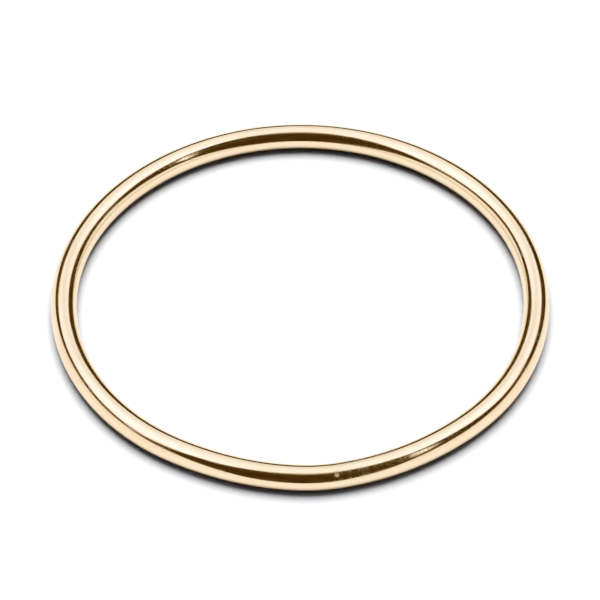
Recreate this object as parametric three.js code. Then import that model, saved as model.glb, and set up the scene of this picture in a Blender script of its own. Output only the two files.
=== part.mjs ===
// A plain stackable finger ring: one round wire, bent into a circle, joined end to end and polished.
// Millimetres, +Z up. The ring lies on its side on the plane z = 0, and its axis is the Z axis.

import * as THREE from "three";

// Driving dimensions
const INNER_DIAMETER = 17.3; // the finger hole, a US size 7
const WIRE_DIAMETER = 1.0; // the round wire, measured across

// How finely the round shapes are cut into flats
const WIRE_FLATS = 24; // round the wire, with one flat underneath and one on top
const RING_STEPS = 120; // round the finger

// Worked out from the driving dimensions
const WIRE_RADIUS = WIRE_DIAMETER / 2;
const CENTRE_LINE_RADIUS = INNER_DIAMETER / 2 + WIRE_RADIUS;

// Finish
const PALE_GOLD = 0xf6dcb4;
const POLISH_ROUGHNESS = 0.12;

// The wire's section, counter-clockwise and closed on itself. Each flat touches the true circle at its
// middle, so the height and the inside width stay exact, and the ring stands on a flat.
function wireSection() {
  const halfFlat = Math.PI / WIRE_FLATS;
  const cornerRadius = WIRE_RADIUS / Math.cos(halfFlat);
  const corners = [];
  for (let i = 0; i <= WIRE_FLATS; i++) {
    const turn = halfFlat * (2 * (i % WIRE_FLATS) + 1);
    const outward = CENTRE_LINE_RADIUS + cornerRadius * Math.cos(turn);
    const upward = WIRE_RADIUS + cornerRadius * Math.sin(turn);
    corners.push(new THREE.Vector2(outward, upward));
  }
  return corners;
}

// The band: the section carried once round the finger. A lathe turns about Y, so it is tipped onto Z.
function ringBand(material) {
  const band = new THREE.Mesh(new THREE.LatheGeometry(wireSection(), RING_STEPS), material);
  band.name = "ring_band";
  band.rotation.x = Math.PI / 2;
  return band;
}

function stackableRing() {
  const gold = new THREE.MeshStandardMaterial({
    color: PALE_GOLD,
    roughness: POLISH_ROUGHNESS,
    metalness: 1,
  });
  const ring = new THREE.Group();
  ring.name = "stackable_ring";
  ring.add(ringBand(gold));
  return ring;
}

export default stackableRing();
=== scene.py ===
"""A plain stackable finger ring: one round gold wire, bent into a circle, joined and polished.

The ring lies on its side on a pale studio floor, under two wide soft lights. The polished wire mirrors a
white tent with a dark gap round it, which reaches high in front of the ring and lies low behind it.

Lengths are in metres unless a name says otherwise. The ring's axis is Z, and the camera stands towards -Y.
Turns, round the ring and along the ground, start at that near side and go to the right.
"""

import logging
import math
from dataclasses import dataclass
from enum import Enum
from typing import Any, List, Mapping, Optional, Sequence, Tuple, Union

import bmesh
import bpy
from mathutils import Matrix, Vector


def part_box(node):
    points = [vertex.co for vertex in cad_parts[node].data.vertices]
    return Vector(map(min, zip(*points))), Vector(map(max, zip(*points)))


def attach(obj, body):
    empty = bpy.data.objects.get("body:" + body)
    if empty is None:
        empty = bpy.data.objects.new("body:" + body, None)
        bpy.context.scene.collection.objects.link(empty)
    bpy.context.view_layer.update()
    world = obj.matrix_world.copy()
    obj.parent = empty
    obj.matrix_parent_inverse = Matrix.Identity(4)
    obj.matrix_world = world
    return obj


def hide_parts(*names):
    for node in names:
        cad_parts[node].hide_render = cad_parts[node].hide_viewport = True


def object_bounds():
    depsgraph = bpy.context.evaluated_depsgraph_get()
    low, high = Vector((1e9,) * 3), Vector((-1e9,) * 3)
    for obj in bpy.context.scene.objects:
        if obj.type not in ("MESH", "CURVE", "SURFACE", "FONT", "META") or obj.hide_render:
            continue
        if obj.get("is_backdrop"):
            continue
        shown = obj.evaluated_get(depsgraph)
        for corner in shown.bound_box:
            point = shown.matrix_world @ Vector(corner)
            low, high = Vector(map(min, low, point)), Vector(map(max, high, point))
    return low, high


MM = 0.001
MICRON = 0.000001
ROOT_BODY = "root"
RING_NODE = "ring_band"
BAKE_MAP = "OFBake"
NOISE_MIDDLE = 0.5

Colour = Tuple[float, float, float]
Range = Tuple[float, float]
Box = Tuple[Vector, Vector]
Amount = Union[float, "Signal"]
Paint = Union[Colour, bpy.types.NodeSocket]

log = logging.getLogger("stackable_ring")

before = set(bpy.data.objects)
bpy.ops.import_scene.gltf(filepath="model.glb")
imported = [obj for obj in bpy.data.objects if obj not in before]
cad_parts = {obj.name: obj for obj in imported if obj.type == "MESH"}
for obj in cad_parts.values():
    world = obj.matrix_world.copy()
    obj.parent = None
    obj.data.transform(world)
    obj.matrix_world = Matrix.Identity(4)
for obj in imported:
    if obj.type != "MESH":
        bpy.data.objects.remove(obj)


class Slot(Enum):
    """The record's material slots."""

    POLISHED_GOLD = "polished_gold"


class Operation(Enum):
    """The sums that a Math node does here."""

    ADD = "ADD"
    SUBTRACT = "SUBTRACT"
    MULTIPLY = "MULTIPLY"
    DIVIDE = "DIVIDE"
    MINIMUM = "MINIMUM"
    MAXIMUM = "MAXIMUM"
    ABSOLUTE = "ABSOLUTE"
    SQUARE_ROOT = "SQRT"
    ANGLE = "ARCTAN2"
    E_TO_THE_POWER = "EXPONENT"


class Signal:
    """A value that changes over a surface or over the sky. Python's operators on it add Math nodes."""

    def __init__(self, graph: "Graph", socket: bpy.types.NodeSocket) -> None:
        """Wraps the output of a node in the graph."""
        self.graph = graph
        self.socket = socket

    def _sum(self, operation: Operation, left: Amount, right: Optional[Amount] = None) -> "Signal":
        """Adds one Math node.

        Args:
            operation: What the node does.
            left: Its first value.
            right: Its second value, or None for an operation on one value.

        Returns:
            The node's result.
        """
        values = {"Value": left}
        if right is not None:
            values["Value_001"] = right
        node = self.graph.add("ShaderNodeMath", {"operation": operation.value}, values)
        return Signal(self.graph, node.outputs["Value"])

    def __add__(self, other: Amount) -> "Signal":
        """self + other."""
        return self._sum(Operation.ADD, self, other)

    def __radd__(self, other: Amount) -> "Signal":
        """other + self."""
        return self._sum(Operation.ADD, other, self)

    def __sub__(self, other: Amount) -> "Signal":
        """self - other."""
        return self._sum(Operation.SUBTRACT, self, other)

    def __rsub__(self, other: Amount) -> "Signal":
        """other - self."""
        return self._sum(Operation.SUBTRACT, other, self)

    def __mul__(self, other: Amount) -> "Signal":
        """self * other."""
        return self._sum(Operation.MULTIPLY, self, other)

    def __rmul__(self, other: Amount) -> "Signal":
        """other * self."""
        return self._sum(Operation.MULTIPLY, other, self)

    def __truediv__(self, other: Amount) -> "Signal":
        """self / other."""
        return self._sum(Operation.DIVIDE, self, other)

    def __rtruediv__(self, other: Amount) -> "Signal":
        """other / self."""
        return self._sum(Operation.DIVIDE, other, self)

    def __neg__(self) -> "Signal":
        """-self."""
        return self * -1.0

    def __abs__(self) -> "Signal":
        """abs(self)."""
        return self._sum(Operation.ABSOLUTE, self)

    def root(self) -> "Signal":
        """The square root."""
        return self._sum(Operation.SQUARE_ROOT, self)

    def angle_from(self, other: "Signal") -> "Signal":
        """The angle in radians whose tangent is self / other, in its right quarter."""
        return self._sum(Operation.ANGLE, self, other)

    def lower_of(self, other: Amount) -> "Signal":
        """The lower of self and other."""
        return self._sum(Operation.MINIMUM, self, other)

    def higher_of(self, other: Amount) -> "Signal":
        """The higher of self and other."""
        return self._sum(Operation.MAXIMUM, self, other)

    def bell(self, width: float) -> "Signal":
        """A bell curve: 1 where self is 0, falling off over width to either side."""
        share = self / width
        return self._sum(Operation.E_TO_THE_POWER, -(share * share))

    def step(self, low: float, high: float) -> "Signal":
        """A soft step.

        Args:
            low: Where the step starts, at 0.
            high: Where it ends, at 1. It may be below low, and then the step falls.

        Returns:
            The step, smooth at both ends.
        """
        up = low < high
        node = self.graph.add(
            "ShaderNodeMapRange",
            {"interpolation_type": "SMOOTHSTEP"},
            {
                "Value": self,
                "From Min": low if up else high,
                "From Max": high if up else low,
                "To Min": 0.0 if up else 1.0,
                "To Max": 1.0 if up else 0.0,
            },
        )
        return Signal(self.graph, node.outputs["Result"])

    def past(self, edge: Amount, softness: Amount) -> "Signal":
        """A soft step from 0 to 1 where self passes an edge, over softness to either side of it."""
        return ((self - edge) / softness).step(-1.0, 1.0)


class Graph:
    """A node tree, with the one way that nodes get into it."""

    def __init__(self, tree: bpy.types.NodeTree) -> None:
        """Takes over a material's or a world's node tree and empties it."""
        self.tree = tree
        tree.nodes.clear()

    @staticmethod
    def _find(sockets: Any, key: str) -> bpy.types.NodeSocket:
        """Finds a socket.

        Args:
            sockets: A node's inputs or outputs.
            key: The socket's identifier, or else its name.

        Returns:
            The socket.
        """
        for socket in sockets:
            if socket.identifier == key:
                return socket
        return sockets[key]

    def add(
        self,
        kind: str,
        settings: Optional[Mapping[str, Any]] = None,
        values: Optional[Mapping[str, Any]] = None,
    ) -> bpy.types.Node:
        """Adds a node.

        Args:
            kind: Blender's name for the node's type.
            settings: The node's own settings, set first.
            values: What goes into its sockets: a plain value, a Signal, or another node's output.

        Returns:
            The node.
        """
        node = self.tree.nodes.new(kind)
        for name, setting in (settings or {}).items():
            setattr(node, name, setting)
        for name, value in (values or {}).items():
            target = self._find(node.inputs, name)
            source = value.socket if isinstance(value, Signal) else value
            if isinstance(source, bpy.types.NodeSocket):
                self.tree.links.new(source, target)
            else:
                target.default_value = source
        return node

    def split(self, vector: bpy.types.NodeSocket) -> Tuple[Signal, Signal, Signal]:
        """A vector's x, y and z.

        Args:
            vector: The output that carries the vector.

        Returns:
            The three as Signals.
        """
        node = self.add("ShaderNodeSeparateXYZ", values={"Vector": vector})
        x, y, z = (Signal(self, node.outputs[axis]) for axis in "XYZ")
        return x, y, z

    def join(self, x: Amount, y: Amount, z: Amount) -> bpy.types.NodeSocket:
        """The vector that has this x, y and z."""
        node = self.add("ShaderNodeCombineXYZ", values={"X": x, "Y": y, "Z": z})
        return node.outputs["Vector"]

    def stretch(self, vector: bpy.types.NodeSocket, by: Tuple[float, float, float]) -> bpy.types.NodeSocket:
        """A vector times three factors, axis by axis.

        Args:
            vector: The output that carries the vector.
            by: The three factors.

        Returns:
            The output that carries the product.
        """
        node = self.add(
            "ShaderNodeVectorMath",
            {"operation": "MULTIPLY"},
            {"Vector": vector, "Vector_001": by},
        )
        return node.outputs["Vector"]

    def noise(self, place: bpy.types.NodeSocket, detail: float = 2.0, seed: float = 0.0) -> Signal:
        """Cloudy noise, from 0 to 1, with features about one unit of place across.

        Args:
            place: The output that carries the place.
            detail: How many finer layers it has.
            seed: Which of the many like patterns it is.

        Returns:
            The noise.
        """
        node = self.add(
            "ShaderNodeTexNoise",
            {"noise_dimensions": "4D"},
            {"Vector": place, "W": seed, "Scale": 1.0, "Detail": detail},
        )
        return Signal(self, node.outputs["Fac"])

    def blend(self, share: Amount, first: Paint, second: Paint) -> bpy.types.NodeSocket:
        """A colour between two.

        Args:
            share: How much of the second there is, from 0 to 1.
            first: A colour, or the output that carries one.
            second: A colour, or the output that carries one.

        Returns:
            The output that carries the colour.
        """
        node = self.add(
            "ShaderNodeMix",
            {"data_type": "RGBA", "clamp_factor": True},
            {"Factor_Float": share, "A_Color": opaque(first), "B_Color": opaque(second)},
        )
        return self._find(node.outputs, "Result_Color")


def opaque(colour: Paint) -> Union[Tuple[float, ...], bpy.types.NodeSocket]:
    """A colour of three numbers with an alpha of 1, and an output as it is."""
    return (*colour, 1.0) if isinstance(colour, tuple) else colour


def new_material(name: str) -> Tuple[bpy.types.Material, Graph]:
    """Makes a material with no nodes yet.

    Args:
        name: The material's name.

    Returns:
        The material, and the graph to add its nodes to.
    """
    made = bpy.data.materials.new(name)
    made.use_nodes = True
    return made, Graph(made.node_tree)


def new_object(name: str, data: bpy.types.ID) -> bpy.types.Object:
    """Makes an object and puts it into the scene.

    Args:
        name: The object's name.
        data: Its mesh, light or camera.

    Returns:
        The object.
    """
    made = bpy.data.objects.new(name, data)
    bpy.context.scene.collection.objects.link(made)
    return made


def mesh_object(name: str, shape: bmesh.types.BMesh) -> bpy.types.Object:
    """Turns a finished shape into an object in the scene.

    Args:
        name: The object's name, and its mesh's.
        shape: The shape, which is freed.

    Returns:
        The object.
    """
    mesh = bpy.data.meshes.new(name)
    shape.to_mesh(mesh)
    shape.free()
    return new_object(name, mesh)


@dataclass(frozen=True)
class WireSizes:
    """The ring's two sizes that everything on it follows."""

    centre_radius: float
    wire_radius: float

    @classmethod
    def from_frame(cls) -> "WireSizes":
        """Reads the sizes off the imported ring.

        Returns:
            The sizes of a ring that lies flat, with its axis on Z.
        """
        low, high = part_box(RING_NODE)
        wire_radius = (high.z - low.z) / 2
        return cls(centre_radius=(high.x - low.x) / 2 - wire_radius, wire_radius=wire_radius)

    @property
    def ring_mm(self) -> float:
        """The radius of the ring's centre line, in millimetres."""
        return self.centre_radius / MM

    @property
    def wire_mm(self) -> float:
        """The wire's radius, in millimetres."""
        return self.wire_radius / MM


@dataclass(frozen=True)
class Swell:
    """A stretch of the hand-bent wire that leaves the true circle by rise, outward, or inward below 0."""

    turn_deg: float
    width_deg: float
    rise: float

    def at(self, turn: float) -> float:
        """How far outward this swell alone takes the wire, at a turn in radians."""
        away = math.remainder(turn - math.radians(self.turn_deg), math.tau)
        return self.rise * math.exp(-((away / math.radians(self.width_deg)) ** 2))


@dataclass(frozen=True)
class Marks:
    """One kind of mark in the polish: how fine it is, which way it runs, how deep it goes and how rough.

    Fineness counts features in a millimetre, along the ring and around the wire. Depths are in microns. The
    edge is where in its noise a mark starts and where it is full, or None for a mark as soft as the noise.
    A thread is a place on the wire in millimetres: two axes along the ring, then one around the wire.
    """

    seed: float
    along: float
    around: float
    edge: Optional[Range] = None
    depth: float = 0.0
    haze: float = 0.0
    detail: float = 2.0

    def noise(self, graph: Graph, thread: bpy.types.NodeSocket) -> Signal:
        """The noise that the marks are cut from, over a thread."""
        fineness = (self.along, self.along, self.around)
        return graph.noise(graph.stretch(thread, fineness), self.detail, self.seed)

    def pattern(self, graph: Graph, thread: bpy.types.NodeSocket) -> Signal:
        """The marks' strength over a thread, from 0 to 1."""
        noise = self.noise(graph, thread)
        return noise.step(*self.edge) if self.edge else noise


@dataclass(frozen=True)
class Nick:
    """One small dent, at a turn round the ring and a tilt outward from the wire's top.

    Its depth is in microns.
    """

    turn_deg: float
    tilt_deg: float
    length: float
    width: float
    depth: float
    haze: float

    def pattern(self, along: Signal, around: Signal, sizes: WireSizes) -> Signal:
        """How deep the dent is.

        Args:
            along: The place along the ring, in millimetres.
            around: The place around the wire, in millimetres.
            sizes: The wire's sizes.

        Returns:
            The depth, from 0 to 1.
        """
        away_along = along - math.radians(self.turn_deg) * sizes.ring_mm
        away_around = around - math.radians(self.tilt_deg) * sizes.wire_mm
        return away_along.bell(self.length / MM) * away_around.bell(self.width / MM)


@dataclass(frozen=True)
class PolishedGold:
    """Pale warm gold, polished by hand: clear, with soft haze and fine marks.

    Clouds vary its colour and haze. Drawn lines run along the wire, and rubbed marks run across it in
    patches. Waves are its broad unevenness, and scuffs lie slanted, in patches of their own. Where the joint
    was dressed, filed marks run across the wire, with one nick beside them.
    """

    name: str = "polished_gold"
    pure: Colour = (0.938, 0.758, 0.530)
    rosy: Colour = (0.928, 0.724, 0.490)
    roughness: float = 0.10
    clouds: Marks = Marks(seed=1.0, along=0.7, around=0.7, edge=(0.3, 0.7), haze=0.04, detail=3.0)
    patches: Marks = Marks(seed=2.0, along=0.35, around=0.9, edge=(0.45, 0.7), detail=1.0)
    drawn: Marks = Marks(seed=3.0, along=0.5, around=9.0, depth=0.25)
    rubbed: Marks = Marks(seed=4.0, along=14.0, around=0.8, edge=(0.42, 0.75), depth=0.6, haze=0.04)
    waves: Marks = Marks(seed=5.0, along=0.8, around=0.5, depth=14.0, detail=1.0)
    filed: Marks = Marks(
        seed=7.0, along=8.0, around=0.3, edge=(0.36, 0.56), depth=0.20, haze=0.135, detail=0.0
    )
    joint_turn_deg: float = 13.0
    joint_half_width: float = 0.9 * MM
    scuffs: Marks = Marks(
        seed=6.0, along=0.9, around=11.0, edge=(0.035, 0.0), depth=0.6, haze=0.05, detail=1.0
    )
    scuff_patches: Marks = Marks(seed=-6.0, along=0.8, around=0.8, edge=(0.55, 0.68), detail=0.0)
    scuff_slants_deg: Sequence[float] = (28.0, -41.0, 74.0)
    nick: Nick = Nick(
        turn_deg=8.3, tilt_deg=43.0, length=0.065 * MM, width=0.070 * MM, depth=11.0, haze=0.85
    )

    def material(self, sizes: WireSizes) -> bpy.types.Material:
        """Makes the material.

        Args:
            sizes: The wire's sizes, which the marks are laid out along.

        Returns:
            The material.
        """
        made, graph = new_material(self.name)
        x, y, z = graph.split(graph.add("ShaderNodeTexCoord").outputs["Object"])
        reach = (x * x + y * y).root()
        # Places in millimetres: along the ring from the near point, and around the wire from its top
        along = x.angle_from(-y) * sizes.ring_mm
        around = (reach - sizes.centre_radius).angle_from(z - sizes.wire_radius) * sizes.wire_mm
        # The same as a thread, with the ring's own circle as two axes, so that no pattern has a seam
        thread = graph.join(x / reach * sizes.ring_mm, y / reach * sizes.ring_mm, around)

        clouds = self.clouds.pattern(graph, thread)
        rubbed = self.rubbed.pattern(graph, thread) * self.patches.pattern(graph, thread)
        from_joint = along - math.radians(self.joint_turn_deg) * sizes.ring_mm
        filed = self.filed.pattern(graph, thread) * from_joint.bell(self.joint_half_width / MM)
        scuffs = self._scuffs(graph, along, around)
        nick = self.nick.pattern(along, around, sizes)

        rough = (
            self.roughness
            + clouds * self.clouds.haze
            + rubbed * self.rubbed.haze
            + filed * self.filed.haze
            + scuffs * self.scuffs.haze
            + nick * self.nick.haze
        )
        height = (
            self.waves.pattern(graph, thread) * self.waves.depth
            + self.drawn.pattern(graph, thread) * self.drawn.depth
            + rubbed * self.rubbed.depth
            + filed * self.filed.depth
            - scuffs * self.scuffs.depth
            - nick * self.nick.depth
        )
        bump = graph.add("ShaderNodeBump", values={"Strength": 1.0, "Distance": MICRON, "Height": height})
        shader = graph.add(
            "ShaderNodeBsdfPrincipled",
            values={
                "Base Color": graph.blend(clouds, self.pure, self.rosy),
                "Metallic": 1.0,
                "Roughness": rough,
                "Normal": bump.outputs["Normal"],
            },
        )
        graph.add("ShaderNodeOutputMaterial", values={"Surface": shader.outputs["BSDF"]})
        return made

    def _scuffs(self, graph: Graph, along: Signal, around: Signal) -> Signal:
        """Short fine scuffs that cross each other. They lie where their noise passes its middle.

        Args:
            graph: The material's node tree.
            along: The place along the ring, in millimetres.
            around: The place around the wire, in millimetres.

        Returns:
            The scuffs' depth, from 0 to 1.
        """
        total = None
        for number, slant_deg in enumerate(self.scuff_slants_deg):
            slant = math.radians(slant_deg)
            cosine, sine = math.cos(slant), math.sin(slant)
            lengthwise = along * cosine + around * sine
            slanted = graph.join(lengthwise, float(number), around * cosine - along * sine)
            from_line = abs(self.scuffs.noise(graph, slanted) - NOISE_MIDDLE)
            marks = from_line.step(*self.scuffs.edge) * self.scuff_patches.pattern(graph, slanted)
            total = marks if total is None else total.higher_of(marks)
        return total


@dataclass
class RingBand:
    """The ring's one piece: the round wire, with the small unevenness of a ring bent by hand.

    Its bake map holds the wire as a few straight rows. The gap round the wire there is a share of the row.
    """

    sizes: WireSizes
    finish: PolishedGold = PolishedGold()
    name: str = "gold_wire_band"
    ring_steps: int = 1080
    wire_steps: int = 64
    bake_rows: int = 4
    bake_gap: float = 0.02
    swells: Sequence[Swell] = (
        Swell(turn_deg=4.0, width_deg=10.0, rise=0.075 * MM),
        Swell(turn_deg=-24.0, width_deg=12.0, rise=-0.050 * MM),
        Swell(turn_deg=36.0, width_deg=14.0, rise=-0.055 * MM),
        Swell(turn_deg=118.0, width_deg=28.0, rise=0.045 * MM),
        Swell(turn_deg=-140.0, width_deg=30.0, rise=-0.040 * MM),
    )

    def build(self) -> bpy.types.Object:
        """Makes the wire in the CAD ring's place.

        Returns:
            The piece.
        """
        shape = bmesh.new()
        sections = [self._section(shape, step) for step in range(self.ring_steps)]
        bake_map = shape.loops.layers.uv.new(BAKE_MAP)
        for step in range(self.ring_steps):
            here, there = sections[step], sections[(step + 1) % self.ring_steps]
            for side in range(self.wire_steps):
                other = (side + 1) % self.wire_steps
                face = shape.faces.new((here[side], there[side], there[other], here[other]))
                face.smooth = True
                corners = ((step, side), (step + 1, side), (step + 1, side + 1), (step, side + 1))
                for loop, corner in zip(face.loops, corners):
                    loop[bake_map].uv = self._bake_place(step, *corner)
        shape.normal_update()
        piece = mesh_object(self.name, shape)
        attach(piece, ROOT_BODY)
        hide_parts(RING_NODE)
        return piece

    def dress(self, piece: bpy.types.Object) -> None:
        """Gives the piece that build made its finish."""
        piece.data.materials.append(self.finish.material(self.sizes))

    def _section(self, shape: bmesh.types.BMesh, step: int) -> List[bmesh.types.BMVert]:
        """Adds the points round the wire at one step of the ring.

        Args:
            shape: The mesh being made.
            step: Which step it is, from the near point to the right.

        Returns:
            The points, from the underside by way of the outside.
        """
        turn = math.tau * step / self.ring_steps
        centre = self.sizes.centre_radius + sum(swell.at(turn) for swell in self.swells)
        points = []
        for side in range(self.wire_steps):
            tilt = math.tau * side / self.wire_steps
            reach = centre + self.sizes.wire_radius * math.sin(tilt)
            height = self.sizes.wire_radius * (1 - math.cos(tilt))
            points.append(shape.verts.new((reach * math.sin(turn), -reach * math.cos(turn), height)))
        return points

    def _bake_place(self, face_step: int, step: int, side: int) -> Tuple[float, float]:
        """Where a corner lies on the bake map.

        Args:
            face_step: The ring step of the corner's face, which decides its row.
            step: The corner's own ring step.
            side: The corner's step round the wire.

        Returns:
            The corner's two map coordinates.
        """
        steps_in_row = self.ring_steps / self.bake_rows
        row = int(face_step / steps_in_row)
        across = (step - row * steps_in_row) / steps_in_row
        up = side / self.wire_steps
        inner = 1 - 2 * self.bake_gap
        return self.bake_gap + inner * across, (row + self.bake_gap + inner * up) / self.bake_rows


@dataclass(frozen=True)
class MattePaper:
    """The floor's finish: plain, matte, and a grey that the studio lights raise to white."""

    name: str = "pale_floor"
    shade: Colour = (0.40, 0.40, 0.40)

    def material(self) -> bpy.types.Material:
        """Makes the material.

        Returns:
            The material.
        """
        made, graph = new_material(self.name)
        shader = graph.add("ShaderNodeBsdfDiffuse", values={"Color": opaque(self.shade)})
        graph.add("ShaderNodeOutputMaterial", values={"Surface": shader.outputs["BSDF"]})
        return made


@dataclass
class PaleFloor:
    """The plain round floor that the ring lies on. It isn't part of the ring."""

    finish: MattePaper = MattePaper()
    name: str = "pale_floor"
    radius: float = 0.55
    steps: int = 96

    def build(self) -> bpy.types.Object:
        """Makes the floor.

        Returns:
            The floor, marked as stage.
        """
        shape = bmesh.new()
        bmesh.ops.create_circle(shape, cap_ends=True, segments=self.steps, radius=self.radius)
        floor = mesh_object(self.name, shape)
        floor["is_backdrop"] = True
        return floor

    def dress(self, floor: bpy.types.Object) -> None:
        """Gives the floor that build made its finish."""
        floor.data.materials.append(self.finish.material())


@dataclass(frozen=True)
class StudioLight:
    """A wide soft light, overhead or some degrees behind that. The wire doesn't mirror it."""

    name: str
    behind_deg: float
    width_deg: float
    strength: float
    colour: Colour = (1.0, 1.0, 1.0)

    def build(self) -> bpy.types.Object:
        """Makes the light.

        Returns:
            The light.
        """
        lamp = bpy.data.lights.new(self.name, "SUN")
        lamp.angle = math.radians(self.width_deg)
        lamp.energy = self.strength
        lamp.color = self.colour
        light = new_object(self.name, lamp)
        light.rotation_euler = (-math.radians(self.behind_deg), 0.0, 0.0)
        light.visible_glossy = False
        return light


OVERHEAD = StudioLight("overhead_light", behind_deg=12.0, width_deg=48.0, strength=7.4)
TENT_GLOW = StudioLight(
    "tent_glow", behind_deg=0.0, width_deg=170.0, strength=1.3, colour=(0.82, 0.92, 1.10)
)


@dataclass(frozen=True)
class Bend:
    """A stretch where an edge goes softly over to another height, by its turns from the front."""

    start_deg: float
    end_deg: float
    height_deg: float


@dataclass(frozen=True)
class GapEdge:
    """The lower or the upper edge of the dark gap, with its bends on either way to the back."""

    front_deg: float
    right: Sequence[Bend]
    left: Sequence[Bend]

    def height(self, right_turn: Signal) -> Signal:
        """How high the edge is.

        Args:
            right_turn: The turn from the front to the right, in degrees, below 0 on the left.

        Returns:
            The height in degrees.
        """
        total = self.front_deg
        for turn, bends in ((right_turn, self.right), (-right_turn, self.left)):
            before_deg = self.front_deg
            for bend in bends:
                total = turn.step(bend.start_deg, bend.end_deg) * (bend.height_deg - before_deg) + total
                before_deg = bend.height_deg
        return total


@dataclass(frozen=True)
class LightSlit:
    """A leaning upright oval of light in the dark gap.

    The edge is where its light starts and where it is full. It is the square of the way out from the
    middle, and that way is 1 at the half sizes.
    """

    colour: Colour
    turn_deg: float
    height_deg: float
    half_width_deg: float
    half_height_deg: float
    lean: float
    edge: Range

    def share(self, right_turn: Signal, height: Signal) -> Signal:
        """Where the slit is.

        Args:
            right_turn: The turn from the front to the right, in degrees, below 0 on the left.
            height: The height in degrees.

        Returns:
            The slit's share of the light, from 0 to 1.
        """
        up = height - self.height_deg
        across = (right_turn - self.turn_deg - up * self.lean) / self.half_width_deg
        up = up / self.half_height_deg
        return (up * up + across * across).step(*self.edge)


@dataclass(frozen=True)
class Surroundings:
    """What the polished wire mirrors: a white tent over a white floor, with a dark gap round it.

    At the front, where the camera stands, the gap goes from the floor to nearly overhead. It narrows to a
    band at the sides, and at the back it lies low along the floor. One light slit shows in it at the right.

    Heights are angles above the ground, and turns are angles along it from the front. Asides are how far to
    either side a direction points, from 0 to 1. Of two asides, heights or turns, the first is where a
    change starts, and the second where it is full.
    """

    name: str = "white_tent_and_dark_gap"
    dark: Colour = (0.140, 0.122, 0.094)
    deep: Colour = (0.100, 0.090, 0.074)
    deep_fineness: float = 3.5
    deep_edge: Range = (0.35, 0.65)
    slit: LightSlit = LightSlit(
        colour=(1.35, 1.32, 1.30),
        turn_deg=62.0,
        height_deg=46.0,
        half_width_deg=4.5,
        half_height_deg=13.0,
        lean=0.6,
        edge=(1.2, 0.7),
    )
    lower: GapEdge = GapEdge(
        front_deg=-1.0,
        right=(Bend(10.0, 60.0, 21.0), Bend(100.0, 140.0, 0.0)),
        left=(Bend(10.0, 60.0, 23.5), Bend(105.0, 150.0, 0.0)),
    )
    upper: GapEdge = GapEdge(
        front_deg=84.0,
        right=(Bend(55.0, 110.0, 39.5), Bend(115.0, 150.0, 31.0), Bend(160.0, 178.0, 22.0)),
        left=(Bend(36.0, 75.0, 38.5), Bend(110.0, 145.0, 29.0), Bend(160.0, 178.0, 22.0)),
    )
    lower_softness_deg: float = 2.0
    front_softness_deg: float = 15.0
    back_softness_deg: float = 2.5
    front_to_back_deg: Range = (55.0, 110.0)
    tent: Colour = (1.15, 1.16, 1.28)
    tent_rim: Colour = (1.10, 1.16, 1.02)
    tent_side: Colour = (1.42, 1.33, 1.64)
    tent_back: Colour = (0.94, 1.00, 1.08)
    side_aside: Range = (0.50, 0.80)
    high_side_aside: Range = (0.10, 0.40)
    high_side_height_deg: Range = (44.0, 56.0)
    back_aside: Range = (0.35, 0.10)
    back_height_deg: Range = (60.0, 42.0)
    floor_edge: Colour = (1.0, 0.98, 0.95)
    backdrop: Colour = (1.0, 1.0, 1.0)

    def build(self) -> bpy.types.World:
        """Makes the surroundings and sets them as the scene's world.

        Returns:
            The world.
        """
        world = bpy.data.worlds.new(self.name)
        world.use_nodes = True
        graph = Graph(world.node_tree)
        towards = graph.add("ShaderNodeTexCoord").outputs["Generated"]
        x, y, z = graph.split(towards)
        degrees = math.degrees(1.0)
        right_turn = x.angle_from(-y) * degrees
        height = z.angle_from((x * x + y * y).root()) * degrees

        to_back = abs(right_turn).step(*self.front_to_back_deg)
        softness = self.front_softness_deg + to_back * (self.back_softness_deg - self.front_softness_deg)
        over_gap = height.past(self.upper.height(right_turn), softness)
        over_floor = height.past(self.lower.height(right_turn), self.lower_softness_deg)
        tent = graph.blend(over_gap, self.tent_rim, self._tent_light(graph, abs(x), height))
        shown = graph.blend(over_gap, self._gap_light(graph, towards, right_turn, height), tent)
        shown = graph.blend(over_floor, self.floor_edge, shown)

        # The camera sees a plain backdrop, and the floor isn't lit from here
        path = graph.add("ShaderNodeLightPath").outputs
        shown = graph.blend(path["Is Camera Ray"], shown, self.backdrop)
        not_from_floor = 1.0 - Signal(graph, path["Diffuse Depth"]).lower_of(1.0)
        background = graph.add("ShaderNodeBackground", values={"Color": shown, "Strength": not_from_floor})
        graph.add("ShaderNodeOutputWorld", values={"Surface": background.outputs["Background"]})
        # The last setting looks up the scene's world, so the scene gets it first
        bpy.context.scene.world = world
        world.cycles_visibility.diffuse = False
        return world

    def _gap_light(
        self,
        graph: Graph,
        towards: bpy.types.NodeSocket,
        right_turn: Signal,
        height: Signal,
    ) -> bpy.types.NodeSocket:
        """The dark gap's brown, deeper in patches, and the slit in it.

        Args:
            graph: The world's node tree.
            towards: The output that carries the direction.
            right_turn: The direction's turn from the front to the right, in degrees.
            height: The direction's height in degrees.

        Returns:
            The output that carries the colour.
        """
        fineness = (self.deep_fineness, self.deep_fineness, self.deep_fineness)
        patches = graph.noise(graph.stretch(towards, fineness)).step(*self.deep_edge)
        brown = graph.blend(patches, self.dark, self.deep)
        return graph.blend(self.slit.share(right_turn, height), brown, self.slit.colour)

    def _tent_light(self, graph: Graph, aside: Signal, height: Signal) -> bpy.types.NodeSocket:
        """The tent's white, brighter at the sides and a little dimmer low at the back.

        Args:
            graph: The world's node tree.
            aside: How far to either side, from 0 to 1.
            height: The height in degrees.

        Returns:
            The output that carries the colour.
        """
        low_at_back = aside.step(*self.back_aside) * height.step(*self.back_height_deg)
        lit = graph.blend(low_at_back, self.tent, self.tent_back)
        high_side = aside.step(*self.high_side_aside) * height.step(*self.high_side_height_deg)
        return graph.blend(aside.step(*self.side_aside).higher_of(high_side), lit, self.tent_side)


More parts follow.
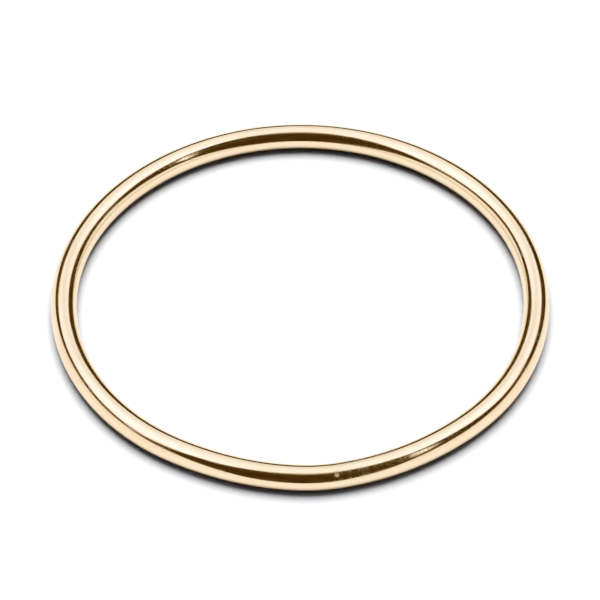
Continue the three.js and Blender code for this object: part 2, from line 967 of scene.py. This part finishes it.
@dataclass(frozen=True)
class ViewPoint:
    """The camera: at the photograph's angle to the ring, level, and as far off as its perspective tells.

    The ring's share is how much of the picture's width it takes.
    """

    name: str = "camera"
    height_deg: float = 46.0
    distance: float = 165 * MM
    sensor_mm: float = 36.0
    ring_share: float = 0.83
    clip_start: float = 5 * MM
    clip_end: float = 4.0

    def build(self, box: Box) -> bpy.types.Object:
        """Makes the camera and sets it as the scene's.

        Args:
            box: The ring's lowest and highest corner.

        Returns:
            The camera.
        """
        low, high = box
        centre = (low + high) / 2
        lens = bpy.data.cameras.new(self.name)
        lens.sensor_width = self.sensor_mm
        lens.lens = self.sensor_mm * self.ring_share * self.distance / (high.x - low.x)
        lens.clip_start, lens.clip_end = self.clip_start, self.clip_end
        camera = new_object(self.name, lens)
        height = math.radians(self.height_deg)
        back = Vector((0.0, -math.cos(height), math.sin(height)))
        camera.location = centre + back * self.distance
        # A camera that isn't turned looks straight down
        camera.rotation_euler = (math.pi / 2 - height, 0.0, 0.0)
        bpy.context.scene.camera = camera
        return camera


@dataclass(frozen=True)
class PrintCurve:
    """How the picture is developed: plain, with the deepest tones printed darker and richer.

    Each point is a tone and what it is printed as. The view has a curve for each colour and then one for all
    colours, numbered from 0.
    """

    points: Sequence[Tuple[float, float]] = (
        (0.0, 0.0),
        (0.05, 0.006),
        (0.12, 0.07),
        (0.30, 0.28),
        (0.55, 0.55),
        (0.80, 0.80),
        (1.0, 1.0),
    )
    all_colours: int = 3

    def apply(self) -> None:
        """Sets the scene's view."""
        view = bpy.context.scene.view_settings
        view.view_transform = "Standard"
        view.look = "None"
        view.use_curve_mapping = True
        curves = view.curve_mapping
        curve = curves.curves[self.all_colours]
        while len(curve.points) < len(self.points):
            curve.points.new(*self.points[0])
        for point, place in zip(curve.points, self.points):
            point.location = place
        curves.update()


def main() -> None:
    """Builds the ring and its studio in order, and reports each piece."""
    logging.basicConfig(level=logging.INFO, format="%(name)s: %(message)s")
    cad_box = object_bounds()
    sizes = WireSizes.from_frame()
    log.info("wire %.2f mm across, centre line %.2f mm", sizes.wire_mm * 2, sizes.ring_mm * 2)

    band = RingBand(sizes)
    piece = band.build()
    band.dress(piece)
    log.info("%s: %d faces", piece.name, len(piece.data.polygons))

    ground = PaleFloor()
    floor = ground.build()
    ground.dress(floor)
    log.info("%s: %.2f m across, not part of the ring", floor.name, ground.radius * 2)
    for studio_light in (OVERHEAD, TENT_GLOW):
        light = studio_light.build()
        log.info("%s: %.0f degrees wide", light.name, studio_light.width_deg)
    world = Surroundings().build()
    log.info("%s: set as the world", world.name)
    camera = ViewPoint().build(cad_box)
    log.info("%s: lens %.0f mm", camera.name, camera.data.lens)
    PrintCurve().apply()


if __name__ == "__main__":
    main()
